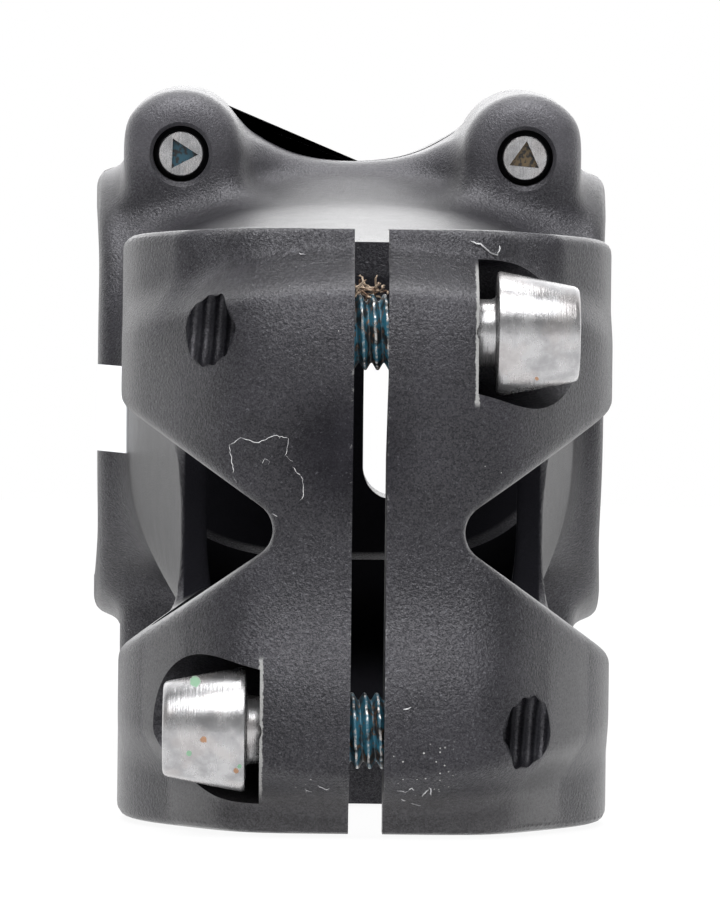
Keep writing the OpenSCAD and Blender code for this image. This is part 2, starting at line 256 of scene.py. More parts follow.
def stretch(*parts):
    """Grid line positions from (start, end, step) stretches, joined end to end."""
    lines = []
    for start, end, step in parts:
        n = max(1, round((end - start) / step))
        lines += [mix(start, end, i / n) for i in range(n)]
    lines.append(parts[-1][1])
    return np.array(lines, dtype=np.float32)


def lathe(name, profile, segments=96, radius=None):
    """Closed turned solid about Z from (radius, height) points, first and last on the axis."""
    pts, faces = [], []
    inner = profile[1:-1]
    for r, h in inner:
        for i in range(segments):
            t = 2 * math.pi * i / segments
            rr = radius(r, h, t) if radius else r
            pts.append((rr * math.cos(t), rr * math.sin(t), h))
    lo, hi = len(pts), len(pts) + 1
    pts += [(0, 0, profile[0][1]), (0, 0, profile[-1][1])]
    for k in range(len(inner) - 1):
        for i in range(segments):
            j = (i + 1) % segments
            faces.append((k * segments + i, k * segments + j, (k + 1) * segments + j, (k + 1) * segments + i))
    top = (len(inner) - 1) * segments
    for i in range(segments):
        j = (i + 1) % segments
        faces.append((lo, j, i))
        faces.append((hi, top + i, top + j))
    return new_object(name, pts, faces)


def cylinder(name, r, z0, z1, segments=128):
    return lathe(name, [(0, z0), (r, z0), (r, z1), (0, z1)], segments)


def block(name, lo, hi):
    pts = [(x, y, z) for x in (lo[0], hi[0]) for y in (lo[1], hi[1]) for z in (lo[2], hi[2])]
    faces = [(0, 1, 3, 2), (4, 6, 7, 5), (0, 4, 5, 1), (2, 3, 7, 6), (0, 2, 6, 4), (1, 5, 7, 3)]
    return new_object(name, pts, faces, smooth=False)


def thread_steps(z0, z1, parts=10):
    """Heights of the rings that draw a thread."""
    n = max(2, round((z1 - z0) / thread_pitch * parts))
    return [mix(z0, z1, i / n) for i in range(n + 1)]


def thread_wave(h, t):
    """0 in the root of the thread and 1 on its crest, with narrow flats."""
    f = (h / thread_pitch - t / (2 * math.pi)) % 1.0
    return min(1.0, max(0.0, (1 - abs(2 * f - 1)) * 1.5 - 0.2))


def place(obj, matrix):
    obj.data.transform(matrix)
    return obj


def along_x(x=0.0, y=0.0, z=0.0, flip=False):
    """Turns +Z to +X, or to -X when flipped, and moves to a point in millimetres."""
    turn = Matrix.Rotation(math.radians(-90 if flip else 90), 4, "Y")
    return Matrix.Translation(Vector((x, y, z)) * MM) @ turn


def at_bar(x=0.0, u=0.0, v=0.0, turn=None):
    """Matrix to a point in the tilted frame of the handlebar clamp, in millimetres."""
    m = Matrix.Translation(Vector((0, bar_y, bar_z)) * MM) @ Matrix.Rotation(rise, 4, "X")
    m = m @ Matrix.Translation(Vector((x, u, v)) * MM)
    return m @ turn if turn else m


def apply_modifiers(obj):
    dg = bpy.context.evaluated_depsgraph_get()
    mesh = bpy.data.meshes.new_from_object(obj.evaluated_get(dg))
    old = obj.data
    obj.modifiers.clear()
    obj.data = mesh
    bpy.data.meshes.remove(old)
    return obj


def cut(obj, *cutters):
    """Takes the cutters away from the object, and deletes them."""
    for c in cutters:
        m = obj.modifiers.new("cut", "BOOLEAN")
        m.operation = "DIFFERENCE"
        m.solver = "MANIFOLD"
        m.object = c
    apply_modifiers(obj)
    for c in cutters:
        mesh = c.data
        bpy.data.objects.remove(c)
        bpy.data.meshes.remove(mesh)
    return obj


def sharpen(obj, angle=32):
    obj.data.shade_smooth()
    obj.data.set_sharp_from_angle(angle=math.radians(angle))
    return obj


def bar_cutter():
    bar = cylinder("c", bar_r, -half_w - 2, half_w + 2, 256)
    return place(bar, at_bar(turn=Matrix.Rotation(math.pi / 2, 4, "Y")))


def at_ear(cutter, x, v):
    """Stands a turned cutter in an ear, with its +Z to the front."""
    return place(cutter, at_bar(x, 0, v, Matrix.Rotation(-math.pi / 2, 4, "X")))


ears_at = [(x, v) for x in (-ear_x, ear_x) for v in (-ear_z, ear_z)]


def tapped_radius(r, h, t):
    """An oval exit with the thread's grooves in it."""
    oval = math.hypot(math.cos(t) / tap_half_h, math.sin(t) / tap_half_y)
    return (1 + 0.09 * thread_wave(h, t)) / oval


step = 0.3
xs = np.arange(step / 2, half_w + 1.0, step, dtype=np.float32)
ys = stretch((-lug_r - 1.0, 20, step), (20, bar_y - 24, 0.9), (bar_y - 24, bar_y + 2, step))
zs = np.arange(-1.0, bar_z + 28.5, step, dtype=np.float32)
stem = field_object("stem_shell", stem_field, xs, ys, zs)

tapped = [(0, -30), (2.2, -30)] + [(2.1, h) for h in thread_steps(-29.9, -7.2)] + [(2.2, -7.0), (0, -7.0)]
cutters = [
    cylinder("c", bore_r, -2, clamp_h + 2, 256),
    cylinder("c", bore_r + relief_depth, mid_z - relief_h / 2, mid_z + relief_h / 2, 256),
    block("c", (-slot_w / 2, -30, -2), (slot_w / 2, 0, clamp_h + 2)),
]
for seat, flip in ((upper_seat, False), (lower_seat, True)):
    y, z = seat[1], seat[2]
    own = [cylinder("c", thread_r + 0.02, -7.1, 0.1), cylinder("c", 2.8, 0, 7),
           cylinder("c", pocket_r, pinch_seat, 30), lathe("c", tapped, 64, tapped_radius)]
    cutters += [place(c, along_x(0, y, z, flip)) for c in own]
cutters.append(bar_cutter())
cutters.append(place(block("c", (-40, -split_gap / 2, -60), (40, 40, 60)), at_bar()))
for x, v in ears_at:
    hole = lathe("c", [(0, -14), (2.75, -14), (2.75, -12.05), (2.35, -11.6), (2.35, 1), (0, 1)], 64)
    cutters.append(at_ear(hole, x, v))
cut(stem, *cutters)
sharpen(stem)
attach(stem, "stem")
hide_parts("stem_body")

# ---------------------------------------------------------------- faceplate
ys = stretch((bar_y - 4, bar_y + 22, step))
plate = field_object("plate_shell", plate_field, xs, ys, zs)
cutters = [
    bar_cutter(),
    place(block("c", (-40, -40, -60), (40, split_gap / 2, 60)), at_bar()),
]


def rounded_window(w, h, r, depth):
    """Prism with round corners, towards +Y."""
    pts = []
    for cx, cz, t0 in ((1, 1, 0), (-1, 1, 90), (-1, -1, 180), (1, -1, 270)):
        for i in range(9):
            t = math.radians(t0 + 90 * i / 8)
            pts.append((cx * (w / 2 - r) + r * math.cos(t), cz * (h / 2 - r) + r * math.sin(t)))
    n = len(pts)
    ring = [(x, 0, z) for x, z in pts] + [(x, depth, z) for x, z in pts]
    faces = [tuple(range(n)), tuple(range(2 * n - 1, n - 1, -1))]
    faces += [(i, i + n, (i + 1) % n + n, (i + 1) % n) for i in range(n)]
    return new_object("c", ring, faces, smooth=False)


for side in (-1, 1):
    cutters.append(place(rounded_window(window_w, window_h, window_r, 30), at_bar(side * window_x, 0, 0)))
for x, v in ears_at:
    cutters.append(at_ear(cylinder("c", 2.8, -2, 12, 64), x, v))
cut(plate, *cutters)
sharpen(plate)
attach(plate, "faceplate")
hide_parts("faceplate")


# ---------------------------------------------------------------- bolts
def cone_bolt(name, length, neck):
    """Conical head on its seat at the origin, neck and thread towards -Z."""
    first, last = -length + 0.45, -neck - 0.3
    profile = [(0, -length), (1.78, -length), (1.84, -length + 0.05)]
    profile += [(2.4, h) for h in thread_steps(first, last, 12)]
    profile += [(2.18, last + 0.25), (2.2, -0.35), (2.3, -0.12), (2.55, -0.02), (3.75, 0.0), (3.93, 0.06)]
    profile += [(4.0, 0.22), (3.98, 0.4), (3.1, 4.95), (3.0, 5.16), (2.86, 5.27), (2.7, head_len)]
    profile += [(2.36, head_len), (0, head_len)]

    def shape(r, h, t):
        if first <= h <= last:
            lead = min(1.0, (h - first) / 0.9, (last - h) / 0.5)
            return thread_root_r + thread_h * thread_wave(h, t) * max(0.0, lead)
        return r

    bolt = lathe(name, profile, 96, shape)
    foot = head_len - hex_depth
    socket = [(0, foot), (2.1, foot), (2.31, foot + 0.3), (2.31, head_len - 0.15), (2.55, 5.5), (0, 5.5)]
    socket = lathe("c", socket, 6)
    mark = [(0, -length - 1), (1.5, -length - 1), (1.42, -length + 0.35), (0, -length + 0.35)]
    mark = lathe("c", mark, 3)
    cut(bolt, socket, mark)
    sharpen(bolt, 30)
    # The materials read the height over the thread's root, and which faces are threaded or marked
    crest = bolt.data.attributes.new("crest", "FLOAT", "POINT")
    for v in bolt.data.vertices:
        crest.data[v.index].value = (v.co.to_2d().length / MM - thread_root_r) / thread_h
    for face in bolt.data.polygons:
        c = face.center / MM
        on_thread = -length + 0.03 < c.z < -neck and c.to_2d().length > 1.5
        recess = c.z < -length + 0.4 and abs(face.normal.z) > 0.9 and c.z > -length + 0.1
        face.material_index = 1 if on_thread or recess else 0
    return bolt


bolts = []
for name, seat, flip in (("upper_pinch_bolt", upper_seat, False), ("lower_pinch_bolt", lower_seat, True)):
    b = cone_bolt(name + "_detail", 15, 5.6)
    place(b, along_x(seat[0], seat[1], seat[2], flip))
    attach(b, name)
    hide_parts(name)
    bolts.append(b)
mark_turn = {"upper_left": 2, "upper_right": 275, "lower_left": 40, "lower_right": 160}
for name in sorted(n for n in nodes if n.startswith("faceplate_bolt")):
    seat = Vector(joint(name + "_turn")["pos_m"])
    b = cone_bolt(name + "_detail", 20, 3.0)
    turn = Matrix.Rotation(rise, 4, "X") @ Matrix.Rotation(-math.pi / 2, 4, "X")
    turn = turn @ Matrix.Rotation(math.radians(mark_turn[name.removeprefix("faceplate_bolt_")]), 4, "Z")
    place(b, Matrix.Translation(seat) @ turn)
    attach(b, name)
    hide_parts(name)
    bolts.append(b)


# ---------------------------------------------------------------- lint and debris
def fibres(name, strands, r, sides=5):
    """Thin tubes along lists of points in millimetres, as one mesh."""
    pts, faces = [], []
    for line in strands:
        line = [Vector(p) for p in line]
        base = len(pts)
        for k, p in enumerate(line):
            d = (line[min(k + 1, len(line) - 1)] - line[max(k - 1, 0)]).normalized()
            u = d.orthogonal().normalized()
            w = d.cross(u)
            rr = r * (0.5 if k in (0, len(line) - 1) else 1.0)
            for i in range(sides):
                t = 2 * math.pi * i / sides
                pts.append(p + (u * math.cos(t) + w * math.sin(t)) * rr)
        for k in range(len(line) - 1):
            for i in range(sides):
                j = (i + 1) % sides
                q = base + k * sides
                faces.append((q + i, q + j, q + sides + j, q + sides + i))
        last = base + (len(line) - 1) * sides
        faces.append(tuple(range(base + sides - 1, base - 1, -1)))
        faces.append(tuple(range(last, last + sides)))
    return new_object(name, [tuple(p) for p in pts], faces)


def wander(start, heading, steps, length, bend):
    """Crooked strand of fibre from a start point."""
    p, d = Vector(start), Vector(heading).normalized()
    line = [p.copy()]
    for _ in range(steps):
        d = (d + Vector([random.uniform(-bend, bend) for _ in range(3)])).normalized()
        p = p + d * (length / steps)
        line.append(p.copy())
    return line


debris_top = upper_seat[2] + 2.5
tufts = []
for _ in range(26):
    start = (random.uniform(-1.0, 0.9), pinch_y + random.uniform(-0.9, 0.6),
             debris_top + random.uniform(-0.25, 0.35))
    heading = (random.uniform(-0.8, 0.8), -0.25, random.uniform(0.1, 0.9))
    tufts.append(wander(start, heading, 6, random.uniform(0.7, 1.7), 0.7))
tufts = [[Vector((max(-1.05, min(1.05, p[0])), p[1], p[2])) for p in line] for line in tufts]
debris = fibres("thread_debris", tufts, 0.07)
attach(debris, "upper_pinch_bolt")

rear_faces = BVHTree.FromObject(stem, bpy.context.evaluated_depsgraph_get())


def on_rear(points, step, jitter, lift):
    """Crooked line over the rear of the clamp, through (x, z) points seen from behind."""
    line = []
    for (x0, z0), (x1, z1) in zip(points, points[1:]):
        n = max(1, round(math.hypot(x1 - x0, z1 - z0) / step))
        for i in range(n):
            x = mix(x0, x1, i / n) + random.uniform(-jitter, jitter)
            z = mix(z0, z1, i / n) + random.uniform(-jitter, jitter)
            hit = rear_faces.ray_cast(Vector((x, -60, z)) * MM, Vector((0, 1, 0)))[0]
            if hit:
                line.append(hit / MM - Vector((0, lift, 0)))
    return line


# A chalky scratch above the left notch, as (x, z) places
scuff = [
    [(-8.7, 23.2), (-9.0, 24.9), (-8.3, 25.4), (-7.2, 25.1),
     (-6.1, 25.6), (-5.2, 25.4), (-5.4, 24.3), (-4.8, 23.8)],
    [(-4.9, 23.6), (-4.3, 22.8), (-4.2, 21.9), (-4.5, 21.3)],
    [(-8.7, 22.9), (-8.4, 22.4)],
    [(-6.3, 20.6), (-5.7, 20.4)],
    [(-6.9, 23.8), (-6.7, 24.1), (-6.4, 23.9), (-6.5, 23.6)],
]
chalk = fibres("chalk_line", [on_rear(line, 0.16, 0.04, 0.0) for line in scuff], 0.021)
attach(chalk, "stem")
# White lint near the upper pocket and low down beside the slot
hairs = [
    [(6.4, 38.2), (7.1, 38.0), (7.6, 37.5), (8.1, 37.4), (8.3, 37.8), (8.2, 38.1)],
    [(-4.7, 37.3), (-4.1, 37.2)],
    [(2.0, 3.0), (2.5, 2.9), (2.9, 3.2), (3.2, 2.9)],
    [(3.6, 2.6), (4.0, 3.2), (4.2, 3.0), (4.1, 2.5)],
    [(2.9, 2.1), (3.7, 1.9)],
    [(2.3, 2.4), (2.7, 2.2)],
    [(-3.9, 3.0), (-3.3, 2.8)],
    [(-3.1, 3.3), (-2.5, 3.0), (-2.2, 3.2)],
    [(2.3, 8.2), (2.9, 8.4)],
]
lint = fibres("white_lint", [on_rear(line, 0.16, 0.04, 0.02) for line in hairs], 0.045)
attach(lint, "stem")


# ---------------------------------------------------------------- materials
def material(name):
    m = bpy.data.materials.new(name)
    m.use_nodes = True
    nt = m.node_tree
    return m, nt, nt.nodes["Principled BSDF"]


def node(nt, kind, **values):
    n = nt.nodes.new(kind)
    for k, v in values.items():
        if k.startswith("in_"):
            n.inputs[int(k[3:])].default_value = v
        else:
            setattr(n, k, v)
    return n


def calc(nt, operation, *values):
    """Output of a math node fed with sockets or constants."""
    n = node(nt, "ShaderNodeMath", operation=operation)
    for i, v in enumerate(values):
        if isinstance(v, (int, float)):
            n.inputs[i].default_value = v
        else:
            nt.links.new(v, n.inputs[i])
    return n.outputs[0]


def product(nt, *values):
    out = values[0]
    for v in values[1:]:
        out = calc(nt, "MULTIPLY", out, v)
    return out


def distance(nt, du, dv):
    return calc(nt, "SQRT", calc(nt, "ADD", product(nt, du, du), product(nt, dv, dv)))


def gap(nt, value, middle):
    """How far a value lies from a middle, on either side."""
    return calc(nt, "ABSOLUTE", calc(nt, "SUBTRACT", value, middle))


def inverse(nt, value):
    return calc(nt, "SUBTRACT", 1.0, value)


def fade(nt, value, lo, hi):
    """0 at lo and 1 at hi, eased; lo may be the larger."""
    n = node(nt, "ShaderNodeMapRange", interpolation_type="SMOOTHSTEP", in_1=min(lo, hi), in_2=max(lo, hi))
    nt.links.new(value, n.inputs[0])
    return n.outputs[0] if lo < hi else inverse(nt, n.outputs[0])


def blend(nt, fac, a, b):
    """Mix of two colours, each a socket or a constant."""
    n = node(nt, "ShaderNodeMix", data_type="RGBA")
    for i, v in ((0, fac), (6, a), (7, b)):
        if isinstance(v, tuple):
            n.inputs[i].default_value = v if len(v) == 4 else (*v, 1)
        elif isinstance(v, (int, float)):
            n.inputs[i].default_value = v
        else:
            nt.links.new(v, n.inputs[i])
    return n.outputs[2]


def noise(nt, vector, scale, detail=2.0, rough=0.5):
    n = node(nt, "ShaderNodeTexNoise", in_2=scale, in_3=detail, in_4=rough)
    nt.links.new(vector, n.inputs["Vector"])
    return n.outputs["Fac"]


def millimetres(nt):
    """Place in the part's frame, in millimetres: the vector and its three parts."""
    coord = node(nt, "ShaderNodeTexCoord")
    scale = node(nt, "ShaderNodeVectorMath", operation="SCALE")
    scale.inputs["Scale"].default_value = 1000.0
    nt.links.new(coord.outputs["Object"], scale.inputs[0])
    parts = node(nt, "ShaderNodeSeparateXYZ")
    nt.links.new(scale.outputs[0], parts.inputs[0])
    return scale.outputs[0], *parts.outputs


def specks(nt, vector, scale, radius, share):
    """Small round dots in some of the cells of a Voronoi pattern."""
    v = node(nt, "ShaderNodeTexVoronoi", in_2=scale)
    nt.links.new(vector, v.inputs["Vector"])
    pick = node(nt, "ShaderNodeSeparateColor")
    nt.links.new(v.outputs["Color"], pick.inputs[0])
    dot = fade(nt, v.outputs["Distance"], radius * scale, 0.6 * radius * scale)
    return calc(nt, "MULTIPLY", dot, calc(nt, "GREATER_THAN", pick.outputs[0], 1 - share))


def anodised():
    """Blasted, anodised aluminium with a fine grain, chipped edges, dust and a white stripe, and with painted
    glints, painted light and painted shade.
    """
    m, nt, b = material("anodised_black")
    link = nt.links.new
    place_mm, x, y, z = millimetres(nt)
    grain = noise(nt, place_mm, 4.8, 3.0, 0.7)
    patch = noise(nt, place_mm, 0.28, 4.0, 0.6)
    chip = noise(nt, place_mm, 3.2, 3.0, 0.7)
    ax = calc(nt, "ABSOLUTE", x)
    rear = fade(nt, y, -13.0, -15.0)

    colour = blend(nt, fade(nt, patch, 0.35, 0.7), (0.006, 0.0058, 0.0075), (0.012, 0.0115, 0.0145))
    # The grain's peaks are painted paler: partly the grain's own tone, partly painted glints for its sparkle
    grain_and_painted_glint = fade(nt, grain, 0.6, 0.74)
    colour = blend(nt, calc(nt, "MULTIPLY", grain_and_painted_glint, 0.5), colour, (0.11, 0.11, 0.125))
    # Painted light: the upper ears are painted greyer, for the light from above that falls on them
    ears = calc(nt, "MULTIPLY", fade(nt, z, 46.5, 50.5), fade(nt, y, 70.0, 76.0))
    colour = blend(nt, calc(nt, "MULTIPLY", ears, 0.45), colour, (0.085, 0.083, 0.092))

    # Light chips along the edges of the slot and of the two head pockets
    slot_edge = fade(nt, calc(nt, "ADD", ax, product(nt, chip, -0.55)), 0.98, 0.86)
    slot_edge = product(nt, slot_edge, rear, fade(nt, chip, 0.55, 0.7), 0.4)
    side = product(nt, x, calc(nt, "SIGN", calc(nt, "SUBTRACT", z, mid_z)))
    off = gap(nt, side, pinch_seat - 0.06)
    from_mid = gap(nt, z, mid_z)
    seat_edge = fade(nt, calc(nt, "ADD", off, product(nt, chip, -0.35)), 0.0, -0.08)
    beside_bolt = fade(nt, gap(nt, from_mid, pinch_z), 4.9, 4.4)
    seat_edge = product(nt, seat_edge, beside_bolt, fade(nt, y, -17.0, -18.0))
    chips = calc(nt, "MAXIMUM", slot_edge, seat_edge)

    # Dust: a few loose specks, and more of them low down beside the slot
    low = product(nt, fade(nt, z, 7.0, 5.0), fade(nt, z, 1.6, 2.4), rear, fade(nt, ax, 6.5, 4.5))
    big, small = specks(nt, place_mm, 0.55, 0.085, 0.07), specks(nt, place_mm, 1.9, 0.04, 0.035)
    dust = calc(nt, "MAXIMUM", big, small)
    crowd = product(nt, specks(nt, place_mm, 3.4, 0.07, 0.3), low, fade(nt, patch, 0.5, 0.56))
    dust = calc(nt, "MAXIMUM", dust, crowd)
    pale = calc(nt, "MAXIMUM", product(nt, dust, 0.8), product(nt, chips, 0.55))
    colour = blend(nt, pale, colour, (0.42, 0.42, 0.41))

    # Plain white stripe on the left side of the handlebar clamp
    edge = calc(nt, "ADD", z, product(nt, x, 0.09))
    stripe = product(nt, fade(nt, edge, 22.85, 22.9), fade(nt, edge, 30.0, 29.95),
                     fade(nt, x, -18.3, -18.6), fade(nt, y, 70.0, 70.1))
    colour = blend(nt, stripe, colour, (0.86, 0.87, 0.9))

    rough = calc(nt, "ADD", product(nt, patch, 0.12), 0.28)
    rough = calc(nt, "ADD", rough, product(nt, calc(nt, "MAXIMUM", pale, stripe), 0.4))
    link(rough, b.inputs["Roughness"])
    b.inputs["Specular Tint"].default_value = (0.95, 0.94, 1.0, 1)

    # Painted shade: the inside of the hollow extension is painted dark and dull, within an oval that widens
    # to the front
    centre = calc(nt, "ADD", product(nt, y, 0.107), 20.0)
    across = calc(nt, "DIVIDE", ax, calc(nt, "ADD", product(nt, y, 0.07), 10.9))
    level = calc(nt, "DIVIDE", gap(nt, z, centre), 15.4)
    painted_shade_inside = calc(nt, "ADD", calc(nt, "POWER", across, 3.0), calc(nt, "POWER", level, 3.0))
    painted_shade_inside = product(nt, fade(nt, painted_shade_inside, 1.06, 0.98), fade(nt, y, 13.0, 15.0))
    # Only the bore side of the faceplate gets this painted shade, not its front
    from_bar = distance(nt, calc(nt, "SUBTRACT", y, bar_y), calc(nt, "SUBTRACT", z, bar_z))
    behind = calc(nt, "MAXIMUM", fade(nt, y, 100.0, 97.0), fade(nt, from_bar, bar_r + 0.5, bar_r + 0.2))
    painted_shade_inside = product(nt, painted_shade_inside, behind)
    # The cut faces at the front of the notches are painted dark too, as painted shade
    rim = product(nt, fade(nt, ax, 12.5, 12.3), fade(nt, y, 9.5, 10.5), fade(nt, y, 14.6, 13.8))
    painted_shade_inside = calc(nt, "MAXIMUM", painted_shade_inside, product(nt, rim, fade(nt, from_mid, 9.5, 8.5)))
    # The tapped holes get the same painted shade
    up = calc(nt, "DIVIDE", calc(nt, "SUBTRACT", from_mid, pinch_z), tap_half_h)
    along = calc(nt, "DIVIDE", calc(nt, "SUBTRACT", y, pinch_y), tap_half_y)
    hole = distance(nt, along, up)
    painted_shade_inside = calc(nt, "MAXIMUM", painted_shade_inside, product(nt, fade(nt, hole, 1.1, 1.02), 0.8))
    colour = blend(nt, painted_shade_inside, colour, (0.009, 0.009, 0.011))
    # Painted light: the collar under the lugs is painted a little paler, for the light bounced up from the
    # floor
    foot = product(nt, fade(nt, z, 3.2, 2.2), fade(nt, y, -9.0, -13.0), inverse(nt, painted_shade_inside), 0.5)
    colour = blend(nt, foot, colour, (0.06, 0.058, 0.058))
    link(colour, b.inputs["Base Color"])

    # The extension's sides are duller than its top, and a place beside the slot is made darker by lowered
    # specular, as painted shade
    sides = product(nt, fade(nt, level, 1.0, 0.7), fade(nt, y, 10.5, 12.0), fade(nt, y, 82.0, 76.0))
    gloss = product(nt, calc(nt, "SUBTRACT", 0.5, product(nt, sides, 0.36)), inverse(nt, painted_shade_inside))
    dark = distance(nt, calc(nt, "SUBTRACT", x, -1.6), calc(nt, "SUBTRACT", z, 24.6))
    gloss = product(nt, gloss, inverse(nt, product(nt, fade(nt, dark, 6.0, 1.0), rear, 0.75)))
    # Single grains of the blasted surface shine more or less
    cells = node(nt, "ShaderNodeTexVoronoi", in_2=11.0)
    link(place_mm, cells.inputs["Vector"])
    shine = node(nt, "ShaderNodeSeparateColor")
    link(cells.outputs["Color"], shine.inputs[0])
    gloss = product(nt, gloss, calc(nt, "ADD", 0.5, product(nt, shine.outputs[0], 0.9)))
    link(gloss, b.inputs["Specular IOR Level"])

    # Soft swell of the two lugs, then the grain
    swell = 0.0
    for height, width, amount in ((35.6, 3.8, -1.75), (11.4, 3.6, -1.35)):
        wave = calc(nt, "TANH", calc(nt, "DIVIDE", calc(nt, "SUBTRACT", z, height), width))
        swell = calc(nt, "ADD", swell, product(nt, wave, amount))
    swell = product(nt, swell, fade(nt, y, -11.0, -16.0))
    broad = node(nt, "ShaderNodeBump", in_0=1.0, in_1=0.001)
    link(swell, broad.inputs["Height"])
    bump = node(nt, "ShaderNodeBump", in_1=0.00009)
    link(product(nt, inverse(nt, stripe), 0.95), bump.inputs["Strength"])
    link(grain, bump.inputs["Height"])
    link(broad.outputs["Normal"], bump.inputs["Normal"])
    link(bump.outputs["Normal"], b.inputs["Normal"])
    return m


def bolt_steel():
    """Polished steel, rubbed and mottled, with rust and a few green stains."""
    m, nt, b = material("bolt_steel")
    link = nt.links.new
    place_mm, x, y, z = millimetres(nt)
    mark = noise(nt, place_mm, 0.7, 5.0, 0.6)
    pit = noise(nt, place_mm, 4.0, 3.0, 0.6)
    tint = noise(nt, place_mm, 0.45, 2.0)
    # Turning marks run round the bolt
    squash = node(nt, "ShaderNodeCombineXYZ")
    for i, (part, scale) in enumerate(((x, 5.0), (y, 0.3), (z, 0.3))):
        link(product(nt, part, scale), squash.inputs[i])
    rings = noise(nt, squash.outputs[0], 1.0, 3.0, 0.7)
    colour = blend(nt, fade(nt, mark, 0.32, 0.66), (0.29, 0.289, 0.296), (0.43, 0.427, 0.434))
    colour = blend(nt, calc(nt, "MULTIPLY", fade(nt, tint, 0.48, 0.65), 0.3), colour, (0.43, 0.39, 0.375))
    colour = blend(nt, fade(nt, pit, 0.68, 0.76), colour, (0.2, 0.17, 0.15))
    crust = noise(nt, place_mm, 2.6, 3.0, 0.7)

    def spot(px, pz, r):
        """A ragged stain at a place seen from behind."""
        far = distance(nt, calc(nt, "SUBTRACT", x, px), calc(nt, "SUBTRACT", z, pz))
        far = calc(nt, "ADD", far, calc(nt, "MULTIPLY", calc(nt, "SUBTRACT", crust, 0.5), 1.1 * r))
        return calc(nt, "MULTIPLY", fade(nt, far, r, 0.75 * r), fade(nt, y, 0.0, -1.0))

    rust = calc(nt, "MAXIMUM", spot(-10.4, 6.2, 0.24), spot(-8.3, 4.2, 0.2))
    rust = calc(nt, "MAXIMUM", rust, spot(10.6, 29.4, 0.14))
    green = calc(nt, "MAXIMUM", spot(-11.0, 9.8, 0.36), spot(-11.3, 5.3, 0.2))
    green = calc(nt, "MAXIMUM", green, spot(-8.1, 4.5, 0.16))
    colour = blend(nt, calc(nt, "MULTIPLY", rust, 0.85), colour, (0.27, 0.12, 0.04))
    colour = blend(nt, calc(nt, "MULTIPLY", green, 0.8), colour, (0.13, 0.30, 0.17))
    link(colour, b.inputs["Base Color"])
    dirt = calc(nt, "MAXIMUM", rust, green)
    link(calc(nt, "SUBTRACT", 0.85, calc(nt, "MULTIPLY", dirt, 0.8)), b.inputs["Metallic"])
    rough = calc(nt, "ADD", calc(nt, "MULTIPLY", mark, 0.16), 0.13)
    rough = calc(nt, "ADD", rough, calc(nt, "MULTIPLY", rings, 0.1))
    link(calc(nt, "ADD", rough, calc(nt, "MULTIPLY", dirt, 0.4)), b.inputs["Roughness"])
    bump = node(nt, "ShaderNodeBump", in_0=0.5, in_1=0.00003)
    link(calc(nt, "ADD", rings, calc(nt, "MULTIPLY", pit, 0.5)), bump.inputs["Height"])
    link(bump.outputs["Normal"], b.inputs["Normal"])
    return m


def thread_steel():
    """Dark thread with bare crests and dried blue threadlocker in its roots."""
    m, nt, b = material("thread_steel")
    link = nt.links.new
    place_mm, x, y = millimetres(nt)[:3]
    height = node(nt, "ShaderNodeAttribute", attribute_name="crest").outputs["Fac"]
    crest = fade(nt, height, 0.9, 1.02)
    patch = noise(nt, place_mm, 1.1, 3.0, 0.6)
    fine_patch = noise(nt, place_mm, 3.0, 2.0)
    colour = blend(nt, fade(nt, patch, 0.42, 0.56), (0.006, 0.008, 0.010), (0.012, 0.085, 0.13))
    colour = blend(nt, fade(nt, fine_patch, 0.56, 0.66), colour, (0.10, 0.05, 0.025))
    # Painted shade: the faceplate bolts' threads are painted near-black round their tips, with rust and a
    # little blue in the recess
    far = fade(nt, y, 40.0, 50.0)
    recess = fade(nt, height, -0.3, -0.4)
    ragged_x = calc(nt, "ADD", x, product(nt, calc(nt, "SUBTRACT", patch, 0.5), 20.0))
    blue_side = fade(nt, ragged_x, 3.0, -3.0)
    stain = blend(nt, blue_side, (0.11, 0.075, 0.035), (0.012, 0.06, 0.09))
    stain = blend(nt, fade(nt, fine_patch, 0.45, 0.6), stain, (0.012, 0.012, 0.013))
    colour = blend(nt, far, colour, blend(nt, recess, (0.006, 0.006, 0.007), stain))
    bare = product(nt, crest, fade(nt, fine_patch, 0.4, 0.62), inverse(nt, far))
    colour = blend(nt, bare, colour, (0.36, 0.35, 0.34))
    link(colour, b.inputs["Base Color"])
    link(bare, b.inputs["Metallic"])
    link(calc(nt, "SUBTRACT", 0.5, calc(nt, "MULTIPLY", bare, 0.25)), b.inputs["Roughness"])
    return m


def white_fibre():
    """Pale lint and chalk, a little uneven."""
    m, nt, b = material("white_fibre")
    place_mm = millimetres(nt)[0]
    colour = blend(nt, fade(nt, noise(nt, place_mm, 1.3), 0.35, 0.65), (0.2, 0.2, 0.21), (0.62, 0.62, 0.63))
    nt.links.new(colour, b.inputs["Base Color"])
    b.inputs["Roughness"].default_value = 0.8
    return m


def dry_fibre():
    """Brown fibrous debris."""
    m, nt, b = material("dry_fibre")
    place_mm = millimetres(nt)[0]
    colour = blend(nt, fade(nt, noise(nt, place_mm, 1.6), 0.4, 0.6), (0.13, 0.075, 0.045), (0.46, 0.36, 0.27))
    nt.links.new(colour, b.inputs["Base Color"])
    b.inputs["Roughness"].default_value = 0.9
    return m


black = anodised()
for obj in (stem, plate):
    obj.data.materials.clear()
    obj.data.materials.append(black)
steel, thread = bolt_steel(), thread_steel()
for obj in bolts:
    kinds = [face.material_index for face in obj.data.polygons]
    obj.data.materials.clear()
    obj.data.materials.append(steel)
    obj.data.materials.append(thread)
    for face, kind in zip(obj.data.polygons, kinds):
        face.material_index = kind
debris.data.materials.append(dry_fibre())
pale_fibre = white_fibre()
for obj in (chalk, lint):
    obj.data.materials.append(pale_fibre)


